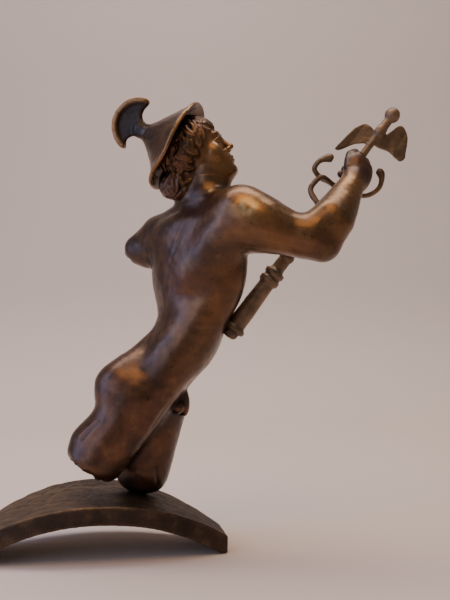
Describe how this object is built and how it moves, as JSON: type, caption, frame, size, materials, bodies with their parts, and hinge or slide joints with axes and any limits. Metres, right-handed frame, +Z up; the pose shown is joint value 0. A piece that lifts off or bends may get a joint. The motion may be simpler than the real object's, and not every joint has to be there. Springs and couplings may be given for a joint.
{
  "type": "bronze statuette",
  "caption": "Cast bronze statuette of Mercury in a crested cap, broken off at the thighs and left arm, raising a winged staff with snakes, on an arched slab.",
  "frame": {"origin": "middle of the whole piece's outline, at the level of the slab's two feet", "axes": "+Z up, +X along the slab towards the raised staff, +Y across the slab, away from the figure's back"},
  "size_m": [0.219, 0.0878, 0.2269],
  "materials": {
    "figure_bronze": "warm brown cast bronze, rubbed to a soft shine on the shoulder and arm",
    "staff_bronze": "dark brown cast bronze",
    "slab_bronze": "dull dark brown bronze, roughly tooled on top"
  },
  "bodies": {
    "root": {"mercury_figure": "figure_bronze", "caduceus": "staff_bronze", "base_slab": "slab_bronze"}
  },
  "joints": []
}
